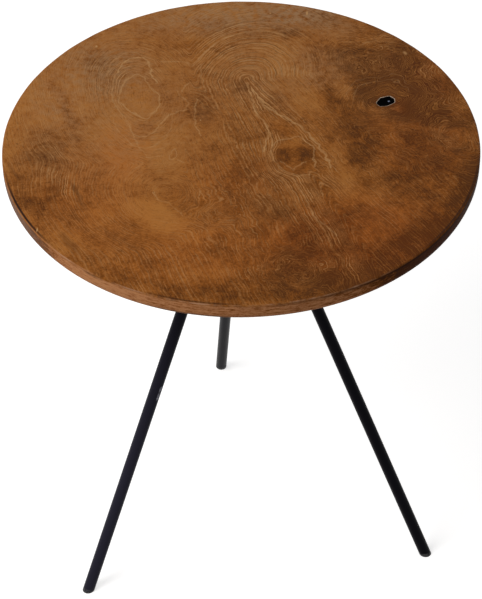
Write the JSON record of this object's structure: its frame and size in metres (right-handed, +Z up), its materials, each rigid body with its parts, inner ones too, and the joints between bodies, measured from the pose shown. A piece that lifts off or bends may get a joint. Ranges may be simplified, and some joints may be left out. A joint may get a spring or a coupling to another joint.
{
  "type": "side table",
  "caption": "Low round side table: a solid figured wood top with a resin-filled knot, on three splayed black steel bars that screw into sockets under its middle.",
  "frame": {"origin": "on the floor, under the middle of the round top", "axes": "+Z up; +Y towards the back leg; +X to the right, towards the knot in the top"},
  "size_m": [0.4499, 0.45, 0.5],
  "materials": {
    "top_wood": "oiled, open-grained teak",
    "knot_resin": "gloss black resin",
    "leg_steel": "satin black powder coat",
    "screw_steel": "zinc-plated",
    "glide_plastic": "matt"
  },
  "bodies": {
    "root": {"table_top": "top_wood", "knot_fill": "knot_resin", "mounting_plate": "leg_steel", "plate_screws": "screw_steel", "leg_socket_back": "leg_steel", "leg_socket_left": "leg_steel", "leg_socket_right": "leg_steel", "leg_stud_back": "screw_steel", "leg_stud_left": "screw_steel", "leg_stud_right": "screw_steel", "leg_back": "leg_steel", "leg_left": "leg_steel", "leg_right": "leg_steel", "foot_glide_back": "glide_plastic", "foot_glide_left": "glide_plastic", "foot_glide_right": "glide_plastic"}
  },
  "joints": []
}
